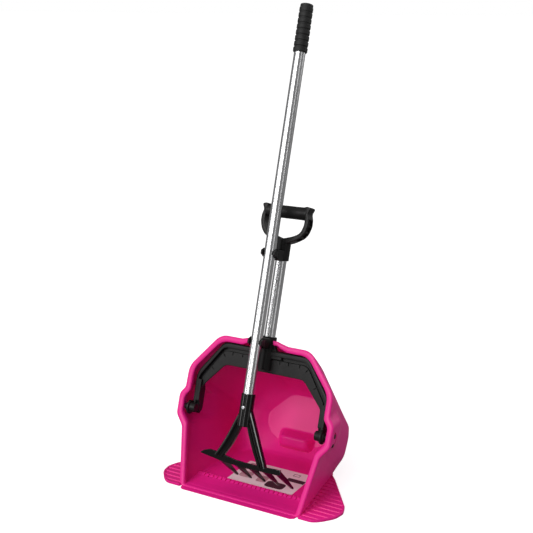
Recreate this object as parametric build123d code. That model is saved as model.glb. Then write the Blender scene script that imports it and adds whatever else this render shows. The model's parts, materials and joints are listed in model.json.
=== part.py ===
from build123d import *
import math
import os

# Stable scoop with a hinged bail handle and a rake clipped to it, in millimetres.
# +Z is up, the mouth faces -Y, and the origin is on the floor where the mouth plane meets it.

# Bucket
RIM_LEAN = 20.0  # lean of the mouth plane behind vertical, degrees
BACK_SLOPE = 0.44  # how far the rear wall runs back for each millimetre of height
WALL = 3.5
FLOOR = 4.0
RIM_WIDTH = 12.0
RIM_DEPTH = 11.0
MOUTH = [(150, 0), (169, 123), (178, 200), (178, 247), (112, 322)]  # (half-width, height)
WAIST = [(133, 0), (155, 80), (161, 141), (159, 175), (92, 260)]
HEEL = [(116, 0), (141, 35), (143, 80), (139, 100), (60, 170)]
BACK = [(66, 6), (92, 22), (107, 60), (106, 92), (46, 150)]
PANEL = [(45, 26), (71, 38), (87, 61), (86, 85), (34, 133)]
WAIST_DEPTH = 110.0
HEEL_DEPTH = 225.0
BACK_DEPTH = 246.0
PANEL_DEPTH = 256.0
POCKET = [(189, 142), (190, 186)]  # outer corners of the rim's bulge round each pivot
POCKET_ROOT = 199.5
POCKET_LENGTH = 105.0
NOTCH_HALF = 24.0
NOTCH_FLARE = 44.0
NOTCH_END = 153.0
NOTCH_CORNER = 14.0
NOTCH_SLANT = 13.0
ROOF = 322.0
ROOF_LOW = 285.0
COLLAR_WALL = 4.0
COLLAR_RISE = 7.0

# Ramp, feet and label
RAMP_NOSE = -12.0
RAMP_CREST = 67.5
RAMP_HEIGHT = 9.0
RAMP_EDGE = 1.8
GROOVE_PITCH = 11.0
GROOVE_WIDTH = 1.6
GROOVE_LENGTH = 34.0
FOOT_HEIGHT = 4.0
FOOT_RIB_PITCH = 15.5
FOOT_RIB_WIDTH = 6.0
FOOT_RIB_RISE = 1.5
FOOT_BORDER = 4.0
FOOT = [(116, 214), (139, 188), (213, 84), (221, 60), (216, 34), (197, 10), (182, -2), (149, -3), (146, 4)]
LABEL_X = (-73, 90)
LABEL_Y = (76, 178)
LABEL_THICKNESS = 0.3

# Bail frame, hinged in the rim pockets
PIVOT_Y = 71.5
PIVOT_Z = 156.5
BAIL_LEAN = 17.2
PIN_RADIUS = 6.0
PIN_RUNNING_FIT = 0.08
BARREL_RADIUS = 11.0
BARREL_INNER = 148.0
BARREL_OUTER = 172.0
PIN_END = 185.5
DISC_RADIUS = 15.0  # round end of each arm, outside its leaf
DISC_OUTER = 167.0
BAIL_OUTER = [(162.5, 0), (162.5, 80), (104, 156)]
BAIL_INNER = [(148, 0), (148, 50), (97, 106)]
BAIL_BACK = -14.0
PLATE_FRONT = -9.5
FLANGE_FRONT = -3.0
FLANGE_WIDTH = 12.0
ARM_LEAF = [(62, -3), (-4, -3), (-11, -7), (-11, -14), (-5, -23), (3, -26), (50, -26), (62, -14)]  # (up, out)

# Tubes and what holds them
TUBE_RADIUS = 12.5
TUBE_WALL = 1.5
HANDLE_N = -13.0  # handle tube axis, behind the pivot axis
RAKE_N = 41.0  # rake tube axis, in front of it
SOCKET_RADIUS = 16.5
HUB_TOP = 184.0
HUB_BOTTOM = 112.0
HUB_WEB = [(44, 136), (44, 150), (28, 154), (20, 166), (16, 176)]
HANDLE_TUBE = (118.0, 392.0)
CLIP_GAP = 0.45
CLIP_WALL = 4.5
CLIP_HEIGHT = 19.0
LOWER_CLIP = 171.5
UPPER_CLIP = 363.0
HUB_SCREW_T = 142.0
D_SCREW_T = 381.0
SCREW_RADIUS = 1.9
SCREW_HEAD = 3.9

# D-shaped grip
GRIP_T = 457.0
GRIP_RADIUS = 13.3
GRIP_HALF = 62.0
D_SOCKET = (353.0, 404.0)

# Rake
RAKE_TUBE = (12.0, 872.0)
RAKE_GRIP = (790.0, 894.0)
RAKE_GRIP_RADIUS = 15.5
RAKE_GRIP_RINGS = 8
RAKE_SOCKET = (-8.0, 61.0)
RAKE_SCREW_T = 32.0
BAR_T = -81.0
BAR_HALF = 98.0
BAR_HEIGHT = 18.0
BAR_THICKNESS = 5.0
TINE_X = [-45, -10.5, 24, 58.5, 93]
TINE_LENGTH = 94.0
TINE_DROP = 42.5  # degrees below horizontal
TINE_THICKNESS = 5.0
TINE_DEPTH = 14.0
TINE_TIP = 4.0

RIM_SLOPE = math.tan(math.radians(RIM_LEAN))
BAIL = Plane(
    origin=(0, PIVOT_Y, PIVOT_Z),
    x_dir=(1, 0, 0),
    z_dir=(0, -math.cos(math.radians(BAIL_LEAN)), math.sin(math.radians(BAIL_LEAN))),
)


def on_mouth(x, z, depth):
    """A point on the plane parallel to the mouth and depth behind it along Y."""
    return (x, depth + z * RIM_SLOPE, z)


def on_back(x, z, depth):
    """A point on a plane parallel to the rear wall."""
    return (x, depth + z * BACK_SLOPE, z)


def inset(half, distance, floor=None):
    """Half outline moved inwards, its bottom corner put at the floor's height."""
    chain = [(-half[0][0], half[0][1])] + list(half) + [(-half[-1][0], half[-1][1])]
    moved = []
    for a, b, c in zip(chain, chain[1:], chain[2:]):
        n1 = left_normal(a, b)
        n2 = left_normal(b, c)
        k = distance / (1 + n1[0] * n2[0] + n1[1] * n2[1])
        moved.append((b[0] + k * (n1[0] + n2[0]), b[1] + k * (n1[1] + n2[1])))
    if floor is not None:
        moved[0] = (moved[0][0], floor)
    return moved


def left_normal(a, b):
    """Unit normal to the left of the way from a to b."""
    run = math.dist(a, b)
    return (-(b[1] - a[1]) / run, (b[0] - a[0]) / run)


def ring(half, place, depth):
    """Closed symmetric face through a half outline."""
    right = [place(x, z, depth) for x, z in half]
    left = [place(-x, z, depth) for x, z in reversed(half)]
    return Face(Wire.make_polygon([Vector(*p) for p in right + left], close=True))


def hull(thickness, floor, front_depth):
    """The bucket's body between mouth and rear panel, moved in by a thickness."""
    mouth = inset(MOUTH, thickness, floor)
    waist = inset(WAIST, thickness, floor)
    heel = inset(HEEL, thickness, floor)
    back = inset(BACK, thickness)
    panel = inset(PANEL, thickness * 0.6)
    return loft(
        [
            ring(mouth, on_mouth, front_depth),
            ring(waist, on_mouth, WAIST_DEPTH),
            ring(heel, on_mouth, HEEL_DEPTH),
            ring(back, on_back, BACK_DEPTH - thickness),
            ring(panel, on_back, PANEL_DEPTH - thickness),
        ],
        ruled=True,
    )


def rim_outline():
    """Half outline of the rim, with the bulge round the pivot."""
    return [MOUTH[0], MOUTH[1]] + POCKET + [(MOUTH[2][0], POCKET_ROOT)] + MOUTH[3:]


def rim():
    """Thick rolled rim round the mouth, open along the floor."""
    outer = ring(rim_outline(), on_mouth, 0)
    inner = ring(inset(rim_outline(), RIM_WIDTH, -1), on_mouth, 0)
    return extrude(outer - inner, amount=RIM_DEPTH, dir=(0, 1, 0))


def pocket(side, thickness):
    """Wedge-shaped bulge behind the rim that houses one pivot."""
    top = POCKET_ROOT
    near = [(140, 118), (169, 123)] + POCKET + [(178, top), (140, top)]
    far = [(120, 118), (150, 123), (155, 142), (155, 160), (148, 170), (120, 170)]
    grow = thickness / RIM_WIDTH
    near = [(x - 12 * grow * (x > 150), z + 12 * grow * ((z < 150) - (z > 150))) for x, z in near]
    faces = []
    for outline, depth in ((near, -8 * grow), (near, 42), (far, POCKET_LENGTH)):
        points = [Vector(*on_mouth(side * x, z, depth)) for x, z in outline]
        faces.append(Face(Wire.make_polygon(points, close=True)))
    return loft(faces, ruled=True)


def plan(points, z0, z1):
    """Prism on an outline drawn in plan."""
    face = Face(Wire.make_polygon([Vector(x, y, z0) for x, y in points], close=True))
    return extrude(face, amount=z1 - z0, dir=(0, 0, 1))


def across(points, x0, x1):
    """Prism on an outline drawn in side view, from x0 to x1."""
    face = Face(Wire.make_polygon([Vector(x0, y, z) for y, z in points], close=True))
    return extrude(face, amount=x1 - x0, dir=(1, 0, 0))


def block(x0, x1, y0, y1, z0, z1):
    """Box between two corners."""
    return Pos((x0 + x1) / 2, (y0 + y1) / 2, (z0 + z1) / 2) * Box(x1 - x0, y1 - y0, z1 - z0)


def ramp():
    """Loading lip: a wedge from the nose up to a crest, grooved behind the mouth."""
    side = [(RAMP_NOSE, 0), (RAMP_NOSE, RAMP_EDGE), (RAMP_CREST, RAMP_HEIGHT), (RAMP_CREST + 7, FLOOR)]
    side.append((RAMP_CREST + 7, 0))
    lip = [(-134, RAMP_NOSE), (134, RAMP_NOSE), (141, -7), (143, 2), (149, 3), (139, 76)]
    lip += [(-139, 76), (-149, 3), (-143, 2), (-141, -7)]
    wedge = across(side, -150, 150) & plan(lip, 0, RAMP_HEIGHT + 1)
    count = int(125 / GROOVE_PITCH)
    middle = RAMP_CREST - GROOVE_LENGTH / 2
    slope = math.degrees(math.atan2(RAMP_HEIGHT - RAMP_EDGE, RAMP_CREST - RAMP_NOSE))
    top = RAMP_EDGE + (middle - RAMP_NOSE) * math.tan(math.radians(slope))
    groove = Box(GROOVE_WIDTH, GROOVE_LENGTH, 1.6)
    cuts = [Pos(i * GROOVE_PITCH, middle, top) * Rot(slope, 0, 0) * groove for i in range(-count, count + 1)]
    return wedge - cuts


def foot(side):
    """Flat wing beside the bucket to hold it down with a shoe, with cross ribs and a border."""
    outline = [(side * x, y) for x, y in FOOT]
    inner = [(side * 142, 20)]
    base = plan(outline + inner, 0, FOOT_HEIGHT)
    top = plan(outline + inner, FOOT_HEIGHT, FOOT_HEIGHT + FOOT_RIB_RISE)
    outer_face = Face(Wire.make_polygon([Vector(x, y, FOOT_HEIGHT) for x, y in outline + inner], close=True))
    field = extrude(offset(outer_face, -FOOT_BORDER), amount=FOOT_RIB_RISE, dir=(0, 0, 1))
    ribs = [
        block(side * 170 - 60, side * 170 + 60, y, y + FOOT_RIB_WIDTH, FOOT_HEIGHT, FOOT_HEIGHT + FOOT_RIB_RISE)
        for y in [8 + FOOT_RIB_PITCH * i for i in range(12)]
    ]
    return base + (top - field) + (field & Compound(ribs))


def finger_lump(grow):
    """Side view of the rear finger hold, which bulges into the bucket."""
    profile = [(262, 14 - grow), (247 - grow, 33), (246 - grow, 43), (252 - grow, 50 + grow), (285, 52 + grow)]
    profile += [(300, 40), (285, 14 - grow)]
    return across(profile, -42 - grow, 42 + grow)


def snap_slot(side):
    """C-shaped slot that frees the springy tongue beside each pivot."""
    disc = Cylinder(15, 12) - Cylinder(12.5, 12)
    keep = Pos(9, 0, 0) * Box(20, 40, 12)
    slot = disc & keep
    slot += Pos(3, 13.2, 0) * Cylinder(2.6, 12) + Pos(3, -13.2, 0) * Cylinder(2.6, 12)
    place = Plane(origin=(side * 189, PIVOT_Y, PIVOT_Z), x_dir=(0, 1, 0), z_dir=(1, 0, 0))
    return place * slot


def pivot_boss(side):
    """Round boss inside the pocket for the bail's pin."""
    return Pos(side * 182.5, PIVOT_Y, PIVOT_Z) * Rot(0, 90, 0) * Cylinder(PIN_RADIUS + 4.5, 11)


def pivot_bore(side):
    """Blind bore for the bail's pin."""
    return Pos(side * 177, PIVOT_Y, PIVOT_Z) * Rot(0, 90, 0) * Cylinder(PIN_RADIUS + PIN_RUNNING_FIT, 20)


def notch_plan(half, end, corner, front):
    """Plan of the notch or of its collar: straight sides and two cut rear corners."""
    right = [(half, front), (half, end - corner), (half - corner, end)]
    return right + [(-x, y) for x, y in reversed(right)]


def notch_flare():
    """Cutter that slants the rim's lower edge away from the notch."""
    half = [(NOTCH_HALF, ROOF), (NOTCH_FLARE, ROOF - NOTCH_SLANT), (NOTCH_FLARE, ROOF - 52)]
    front = -30
    points = [(x, z) for x, z in half] + [(-x, z) for x, z in reversed(half)]
    face = Face(Wire.make_polygon([Vector(x, front, z) for x, z in points], close=True))
    return extrude(face, amount=ROOF * RIM_SLOPE + RIM_DEPTH - 4 - front, dir=(0, 1, 0))


def skin():
    """Outside of the bucket as one solid, with the collar round the notch and the pockets."""
    body = hull(0, None, 0)
    collar = notch_plan(NOTCH_HALF + COLLAR_WALL, NOTCH_END + COLLAR_WALL, NOTCH_CORNER, 60)
    body += plan(collar, ROOF_LOW, ROOF + 80) & Pos(0, 0, COLLAR_RISE) * body
    for side in (-1, 1):
        body += pocket(side, 0)
    return body + (finger_lump(0) & body)


def bucket():
    """The moulded scoop body in one piece."""
    inside = hull(WALL, FLOOR, 0) + block(-125, 125, -60, 30, FLOOR, 60)
    for side in (-1, 1):
        inside += pocket(side, WALL)
    body = skin() - inside
    body += rim()
    body += finger_lump(WALL) & hull(WALL / 2, FLOOR / 2, 0)
    body -= finger_lump(0)
    body -= plan(notch_plan(NOTCH_HALF, NOTCH_END, NOTCH_CORNER, -40), ROOF_LOW, ROOF + 80)
    body -= notch_flare()
    body += ramp()
    for side in (-1, 1):
        body += foot(side)
        body += pivot_boss(side)
        body -= pivot_bore(side)
        body -= snap_slot(side)
    return body


def floor_label():
    """Paper label stuck to the bucket's floor."""
    return block(*LABEL_X, *LABEL_Y, FLOOR, FLOOR + LABEL_THICKNESS)


def symmetric(half, n=0):
    """Face in the bail's own plane from its right half outline."""
    points = half + [(-x, t) for x, t in reversed(half)]
    return Face(Wire.make_polygon([Vector(x, t, n) for x, t in points], close=True))


def rod(radius, t0, t1, n, x=0):
    """Cylinder along the bail's length between two stations."""
    return Pos(x, (t0 + t1) / 2, n) * Rot(90, 0, 0) * Cylinder(radius, t1 - t0)


def cross_rod(radius, x0, x1, t=0, n=0):
    """Cylinder across the bail, parallel to the pivot."""
    return Pos((x0 + x1) / 2, t, n) * Rot(0, 90, 0) * Cylinder(radius, x1 - x0)


def slab(x0, x1, t0, t1, n0, n1):
    """Box in the bail's own frame."""
    return Pos((x0 + x1) / 2, (t0 + t1) / 2, (n0 + n1) / 2) * Box(x1 - x0, t1 - t0, n1 - n0)


def prism(points, n0, n1):
    """Prism on an outline in the bail's plane."""
    face = Face(Wire.make_polygon([Vector(x, t, n0) for x, t in points], close=True))
    return extrude(face, amount=n1 - n0, dir=(0, 0, 1))


def rake_clip(t, root_n):
    """Open U that the rake's tube presses into, with chamfered jaws."""
    inner = TUBE_RADIUS + CLIP_GAP
    outer = inner + CLIP_WALL
    low = t - CLIP_HEIGHT / 2
    high = t + CLIP_HEIGHT / 2
    tip = RAKE_N + 10
    body = rod(outer, low, high, RAKE_N) + slab(-outer, outer, low, high, RAKE_N, tip)
    body += slab(-11, 11, low, high, root_n, RAKE_N - inner)
    body -= rod(inner, low - 1, high + 1, RAKE_N)
    body -= slab(-inner, inner, low - 1, high + 1, RAKE_N, tip + 10)
    for s in (-1, 1):
        corner = [(low - 1, tip + 1), (low - 1, tip - 6), (low + 6, tip + 1)]
        other = [(high + 1, tip + 1), (high + 1, tip - 6), (high - 6, tip + 1)]
        for outline in (corner, other):
            face = Face(Wire.make_polygon([Vector(s * (inner - 2), a, b) for a, b in outline], close=True))
            body -= extrude(face, amount=CLIP_WALL + 4, dir=(s, 0, 0))
    return body


def arch():
    """Flat arch of the bail: a recessed plate inside a raised outer flange."""
    outer = symmetric(BAIL_OUTER, BAIL_BACK)
    plate = outer - symmetric(BAIL_INNER, BAIL_BACK)
    (arm, _), (_, shoulder), (top_x, top_t) = BAIL_OUTER
    hole = [(arm - FLANGE_WIDTH, 0), (arm - FLANGE_WIDTH, shoulder - 6), (top_x - 8, top_t - FLANGE_WIDTH - 4)]
    flange = outer - symmetric(hole, BAIL_BACK)
    body = extrude(plate, amount=PLATE_FRONT - BAIL_BACK, dir=(0, 0, 1))
    return body + extrude(flange, amount=FLANGE_FRONT - BAIL_BACK, dir=(0, 0, 1))


def leaf(points, x0, x1):
    """Prism across the bail on an outline of (along, forward) points."""
    face = Face(Wire.make_polygon([Vector(x0, t, n) for t, n in points], close=True))
    return extrude(face, amount=x1 - x0, dir=(1, 0, 0))


def knuckle():
    """End of the right arm: a deep leaf down to a barrel on the pivot axis, with its pin."""
    body = leaf(ARM_LEAF, BARREL_INNER, BAIL_OUTER[0][0])
    body += cross_rod(BARREL_RADIUS, BARREL_INNER, BARREL_OUTER)
    body += cross_rod(DISC_RADIUS, BARREL_INNER, DISC_OUTER)
    return body + cross_rod(PIN_RADIUS, BARREL_OUTER, PIN_END)


def hub():
    """Socket for the handle tube, flared by webs into the arch, with the lower rake clip."""
    body = rod(SOCKET_RADIUS, HUB_BOTTOM, HUB_TOP, HANDLE_N)
    body += extrude(symmetric(HUB_WEB, HANDLE_N - 1), amount=8, dir=(0, 0, 1))
    body += slab(-12, 12, LOWER_CLIP - 14, LOWER_CLIP + CLIP_HEIGHT / 2, HANDLE_N, 16)
    body += rake_clip(LOWER_CLIP, 10)
    return body


def bail_frame():
    """Moulded bail with its pivots, hub and clip."""
    body = arch() + knuckle() + mirror(knuckle(), about=Plane.YZ) + hub()
    body -= rod(TUBE_RADIUS, HANDLE_TUBE[0], HUB_TOP + 5, HANDLE_N)
    body -= screw_hole(HUB_SCREW_T, HANDLE_N - SOCKET_RADIUS)
    return BAIL * body


def tube(span, n, holes):
    """Round aluminium tube, drilled for its fixing screws."""
    body = rod(TUBE_RADIUS, *span, n) - rod(TUBE_RADIUS - TUBE_WALL, span[0] - 1, span[1] + 1, n)
    for t, side in holes:
        body -= screw_hole(t, n + side * TUBE_RADIUS)
    return BAIL * body


def screw_hole(t, n):
    """Hole for a fixing screw through one side of a socket."""
    return Pos(0, t, n) * Cylinder(SCREW_RADIUS, 20)


def screw(t, n, direction):
    """Self-tapping screw with a domed head, its shank through the socket into the tube."""
    head = Cylinder(SCREW_HEAD, 2.2, align=(Align.CENTER, Align.CENTER, Align.MIN))
    head = fillet(head.edges().group_by(Axis.Z)[-1], 1.2)
    cross = Pos(0, 0, 1.9) * (Box(4, 1, 1.6) + Box(1, 4, 1.6))
    shank = Cylinder(SCREW_RADIUS, 8, align=(Align.CENTER, Align.CENTER, Align.MAX))
    turn = Rot(180, 0, 0) if direction < 0 else Rot(0, 0, 0)
    return BAIL * Pos(0, t, n) * turn * (head - cross + shank)


def d_outline():
    """Outer edge of the D-shaped grip, right half, from the bar down to the socket."""
    return [(62, 469), (57, 458), (61, 443), (61, 430), (56, 415), (48, 404), (31, 395), (17, 389)]


def hand_hole():
    """Opening for the hand, right half, from the bar down to the point above the socket."""
    return [(43, 446), (43, 431), (34, 416), (18, 407), (0, 400)]


def d_handle():
    """Moulded D grip with its socket and the upper rake clip."""
    half = d_outline()
    ends = [(-x, t) for x, t in reversed(half)]
    body = prism(half + ends, HANDLE_N - 11, HANDLE_N + 11)
    inner = hand_hole()
    body -= prism(inner + [(-x, t) for x, t in reversed(inner[:-1])], HANDLE_N - 20, HANDLE_N + 20)
    for s in (-1, 1):
        for x0, t0, turn in ((54, 437, 0), (52, 421, 18), (43, 409, 48)):
            recess = Pos(s * x0, t0, HANDLE_N) * Rot(0, 0, -s * turn) * Box(14, 11, 16)
            body -= recess & Pos(s * (x0 + 7), t0, HANDLE_N) * Rot(0, 0, -s * turn) * Box(16, 11, 16)
    body += cross_rod(GRIP_RADIUS, -GRIP_HALF + 4, GRIP_HALF - 4, GRIP_T, HANDLE_N)
    body += rod(SOCKET_RADIUS, *D_SOCKET, HANDLE_N)
    body += slab(-12, 12, D_SOCKET[0] + 2, UPPER_CLIP + CLIP_HEIGHT / 2, HANDLE_N, 16)
    body += rake_clip(UPPER_CLIP, 10)
    body -= rod(TUBE_RADIUS, D_SOCKET[0] - 5, HANDLE_TUBE[1], HANDLE_N)
    body -= screw_hole(D_SCREW_T, HANDLE_N - SOCKET_RADIUS)
    return BAIL * body


def rake_arm(side):
    """Curved arm from the rake's socket to its bar, waisted on both faces."""
    outer = [(15, 24), (24, 0), (33, -21), (45, -45), (61, BAR_T + 9)]
    inner = [(41, BAR_T + 9), (27, -50), (15, -25), (6, -6), (0, 4)]
    outline = [(side * x, t) for x, t in outer + inner]
    body = prism(outline, RAKE_N - 6, RAKE_N + 6)
    for n0 in (RAKE_N - 6, RAKE_N + 2.5):
        groove = [(side * x, t) for x, t in ((22, -10), (30, -27), (41, -48), (50, -64), (44, -66), (23, -28))]
        body -= prism(groove, n0, n0 + 3.5)
    return body


def tine(x):
    """Flat tapering tine that runs back and down from the bar."""
    turn = math.radians(TINE_DROP - BAIL_LEAN)
    back = Vector(-math.sin(turn), -math.cos(turn))
    up = Vector(math.cos(turn), -math.sin(turn))
    root = Vector(BAR_T - BAR_HEIGHT / 2 + 1, RAKE_N + 1)
    tip = root + back * TINE_LENGTH
    outline = [root, tip, tip + up * TINE_TIP, root + up * TINE_DEPTH + back * TINE_TIP]
    return leaf([(p.X, p.Y) for p in outline], x - TINE_THICKNESS / 2, x + TINE_THICKNESS / 2)


def rake_head():
    """Moulded rake head: socket, two curved arms, bar and tines."""
    body = rod(15, *RAKE_SOCKET, RAKE_N)
    body += rake_arm(1) + rake_arm(-1)
    low = BAR_T - BAR_HEIGHT / 2
    high = BAR_T + BAR_HEIGHT / 2
    bar = [(BAR_HALF, BAR_T - 2), (BAR_HALF - 16, high), (16 - BAR_HALF, high), (-BAR_HALF, BAR_T - 2)]
    bar += [(12 - BAR_HALF, low), (BAR_HALF - 4, low)]
    body += prism(bar, RAKE_N - BAR_THICKNESS / 2, RAKE_N + BAR_THICKNESS / 2)
    for x in TINE_X:
        body += tine(x)
    body -= rod(TUBE_RADIUS, RAKE_TUBE[0], RAKE_SOCKET[1] + 5, RAKE_N)
    body -= screw_hole(RAKE_SCREW_T, RAKE_N + 15)
    return BAIL * body


def rake_grip():
    """Ribbed rubber grip with a closed top."""
    low, high = RAKE_GRIP
    pitch = (high - low - 6) / RAKE_GRIP_RINGS
    body = rod(RAKE_GRIP_RADIUS - 1.8, low, high, RAKE_N)
    for i in range(RAKE_GRIP_RINGS):
        start = low + 1 + i * pitch
        body += rod(RAKE_GRIP_RADIUS - 0.12 * i, start, start + pitch - 3, RAKE_N)
    body -= rod(TUBE_RADIUS, low - 5, RAKE_TUBE[1], RAKE_N)
    return BAIL * body


def parts():
    """Every sub-part by node name."""
    return {
        "bucket": bucket(),
        "floor_label": floor_label(),
        "bail_frame": bail_frame(),
        "bail_hub_screw": screw(HUB_SCREW_T, HANDLE_N - SOCKET_RADIUS, -1),
        "handle_tube": tube(HANDLE_TUBE, HANDLE_N, [(HUB_SCREW_T, -1), (D_SCREW_T, -1)]),
        "d_handle": d_handle(),
        "d_handle_screw": screw(D_SCREW_T, HANDLE_N - SOCKET_RADIUS, -1),
        "rake_tube": tube(RAKE_TUBE, RAKE_N, [(RAKE_SCREW_T, 1)]),
        "rake_head": rake_head(),
        "rake_head_screw": screw(RAKE_SCREW_T, RAKE_N + 15, 1),
        "rake_grip": rake_grip(),
    }


def main():
    os.makedirs("parts", exist_ok=True)
    for node, shape in parts().items():
        export_step(shape, f"parts/{node}.step")


main()
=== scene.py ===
"""Looks of a stable scoop: moulded bucket, hinged bail with a D grip, and the rake clipped to it."""
import json
import math

import bpy
import numpy as np
from bpy.props import FloatProperty, FloatVectorProperty, IntProperty, PointerProperty
from mathutils import Matrix, Vector


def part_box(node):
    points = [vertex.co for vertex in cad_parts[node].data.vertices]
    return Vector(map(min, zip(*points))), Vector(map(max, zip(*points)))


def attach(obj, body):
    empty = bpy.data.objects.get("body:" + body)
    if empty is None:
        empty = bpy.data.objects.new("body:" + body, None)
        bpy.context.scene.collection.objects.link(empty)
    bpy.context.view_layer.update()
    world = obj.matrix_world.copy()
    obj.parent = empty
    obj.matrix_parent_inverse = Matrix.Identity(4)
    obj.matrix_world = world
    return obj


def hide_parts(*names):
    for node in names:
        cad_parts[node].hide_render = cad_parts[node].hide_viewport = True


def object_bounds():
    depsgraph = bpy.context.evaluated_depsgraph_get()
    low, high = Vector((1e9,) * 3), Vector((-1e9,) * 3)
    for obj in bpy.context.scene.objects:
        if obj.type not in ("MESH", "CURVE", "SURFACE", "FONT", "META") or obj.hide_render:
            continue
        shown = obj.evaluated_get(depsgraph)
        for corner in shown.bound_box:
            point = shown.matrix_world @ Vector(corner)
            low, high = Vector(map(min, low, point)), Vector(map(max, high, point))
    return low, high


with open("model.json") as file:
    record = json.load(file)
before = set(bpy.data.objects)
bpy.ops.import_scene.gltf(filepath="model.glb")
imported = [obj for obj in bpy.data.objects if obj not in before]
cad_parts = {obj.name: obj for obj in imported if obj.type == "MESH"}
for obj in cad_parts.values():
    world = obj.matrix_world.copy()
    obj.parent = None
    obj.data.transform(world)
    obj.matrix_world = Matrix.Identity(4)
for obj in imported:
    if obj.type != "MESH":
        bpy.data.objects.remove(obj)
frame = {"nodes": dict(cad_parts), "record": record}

bl_info = {
    "name": "Stable Scoop",
    "version": (1, 0, 0),
    "blender": (4, 5, 0),
    "location": "3D View > Sidebar > Scoop",
    "description": "Moulded scoop bucket with a hinged bail, a D grip and a clip-on rake",
    "category": "Object",
}

CAD_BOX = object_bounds()
MM = 0.001
BEHAVIOUR = frame["record"]["behaviour"]
JOINTS = {joint["name"]: joint for joint in BEHAVIOUR["joints"]}
PIVOT = np.array(JOINTS["bail_pivot"]["pos_m"]) / MM
FORWARD = np.array(JOINTS["rake_unclip"]["axis"], float)  # square to the tubes, out of the mouth
SIDEWAYS = np.array(JOINTS["bail_pivot"]["axis"], float)
ALONG = np.cross(FORWARD, SIDEWAYS)  # up the tubes

# Bucket, in millimetres: half outlines as (half-width, height) from the floor up to the roof
RIM_SLOPE = math.tan(math.radians(20.0))
BACK_SLOPE = 0.44
MOUTH = [(150, 0), (172, 120), (190.5, 142), (191.5, 186), (179.5, 199.5), (179, 247), (112, 322)]
SHOULDER = [(143.5, 0), (165, 117), (188, 141), (189, 186), (172, 199.5), (170.7, 219.5), (104, 297)]
WAIST = [(133, 0), (155, 80), (159.5, 120), (161, 145), (160, 162), (159, 175), (92, 260)]
HEEL = [(116, 0), (141, 35), (142.5, 62), (143, 78), (141, 90), (139, 100), (60, 170)]
BACK = [(66, 6), (92, 22), (103, 46), (107, 62), (107, 78), (106, 92), (46, 150)]
PANEL = [(45, 26), (71, 38), (81, 51), (87, 63), (87, 74), (86, 85), (34, 133)]
HOLD = [(38, 15), (42, 19), (43, 26), (43, 34), (43, 42), (42, 49), (37, 53)]
HOLD_NOSE = [(25, 31), (30, 33), (32, 36), (32, 40), (32, 44), (30, 47), (25, 49)]
MOUTH_CUTS = [3, 5, 7, 9, 6, 16, 18]
BODY_CUTS = [8, 20, 12, 12, 12, 22, 22]
REAR_CUTS = [18, 12, 10, 8, 8, 12, 16]
HOLD_CUTS = [9, 6, 4, 4, 4, 6, 9]
SHOULDER_DEPTH = 44.5
WAIST_DEPTH = 110.0
HEEL_DEPTH = 225.0
BACK_DEPTH = 241.0
PANEL_DEPTH = 256.0
HOLD_DEPTH = 247.0
FLOOR = 4.0
NOTCH_HALF = 20.5
NOTCH_FLARE = 3.0
RAMP_NOSE = -12.0
RAMP_CREST = 67.5
RAMP_HEIGHT = 9.0
FOOT_OUTLINE = [(-3, 176), (-1, 184), (10, 197), (34, 216), (60, 221), (84, 213), (188, 139), (214, 116)]
FOOT_RIBS = 12
LIFT_HEIGHT = 7.5  # turned-up edge round the notch
LIFT_FADE = (13, 26)  # full height up to the first distance from the notch, none past the second
GROOVE_HALF = 0.8
GROOVE_DEPTH = 2.4

# Bail, grip and rake, in millimetres from the pivot axis. Outlines are (sideways, along the tubes),
# the arm's leaf is (along, forward), and the values ending in _N are forward.
BAIL_OUTER = [(162.5, 8), (162.5, 80), (104, 156)]
ARM_LEAF = [
    (64, -3.2), (16, -3.2), (14, -6), (12, -8.5), (-6, -8.5), (-12, -12),
    (-12, -16), (-6, -23), (2, -26), (44, -26), (58, -20), (64, -13),
]
BAIL_INNER = [(148, 8), (148, 50), (97, 106)]
HANDLE_N = -13.0
RAKE_N = 41.0
TUBE_RADIUS = 12.5
TUBE_WALL = 1.5
TUBE_BORE = 12.4  # of a socket, slightly under the tube
HUB_RADIUS = 16.5
HANDLE_SPAN = (118, 392)
RAKE_SPAN = (12, 872)
GRIP_SPAN = (790.0, 894.0)
TINES = (-45, -10.5, 24, 58.5, 93)
CLIP_ROOT = 25  # forward end of each clip's neck


def smooth(a, b, value):
    """Smooth step: 0 below a, 1 above b, and 3s^2 - 2s^3 between."""
    s = np.clip((value - a) / (b - a), 0, 1)
    return s * s * (3 - 2 * s)


def on_bail(points):
    """Points given as (sideways, along, forward) of the pivot, in the shared frame."""
    p = np.asarray(points, float)
    return PIVOT + p[..., :1] * SIDEWAYS + p[..., 1:2] * ALONG + p[..., 2:3] * FORWARD


def as_is(points):
    """Points that are in the shared frame already."""
    return np.asarray(points, float)


def between(start, end, count):
    """Count evenly spaced points strictly between two points or rows of points."""
    s = np.linspace(0, 1, count + 2)[1:-1].reshape((-1,) + (1,) * np.ndim(start))
    return start + (end - start) * s


def rounded(keys, cuts, spans, arc=5):
    """Path through the keys with every inner key rounded off.

    Each corner K is a quadratic curve (1-s)^2 A + 2s(1-s) K + s^2 B, where A and B lie on the
    two sides at the cut's distance, or at 0.45 of a short side. Spans are evenly divided.
    """
    def towards(key, run, cut):
        reach = np.maximum(np.linalg.norm(run, axis=-1, keepdims=True), 1e-6)
        return key + run * np.minimum(cut / reach, 0.45)

    keys = np.asarray(keys, float)
    s = np.linspace(0, 1, arc).reshape((-1,) + (1,) * (keys.ndim - 1))
    rows = [keys[:1]]
    start = keys[0]
    for before, key, after, cut, span in zip(keys, keys[1:], keys[2:], cuts, spans):
        a = towards(key, before - key, cut)
        b = towards(key, after - key, cut)
        rows += [between(start, a, span), (1 - s) ** 2 * a + 2 * s * (1 - s) * key + s * s * b]
        start = b
    rows += [between(start, keys[-1], spans[-1]), keys[-1:]]
    return np.concatenate(rows)


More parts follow.
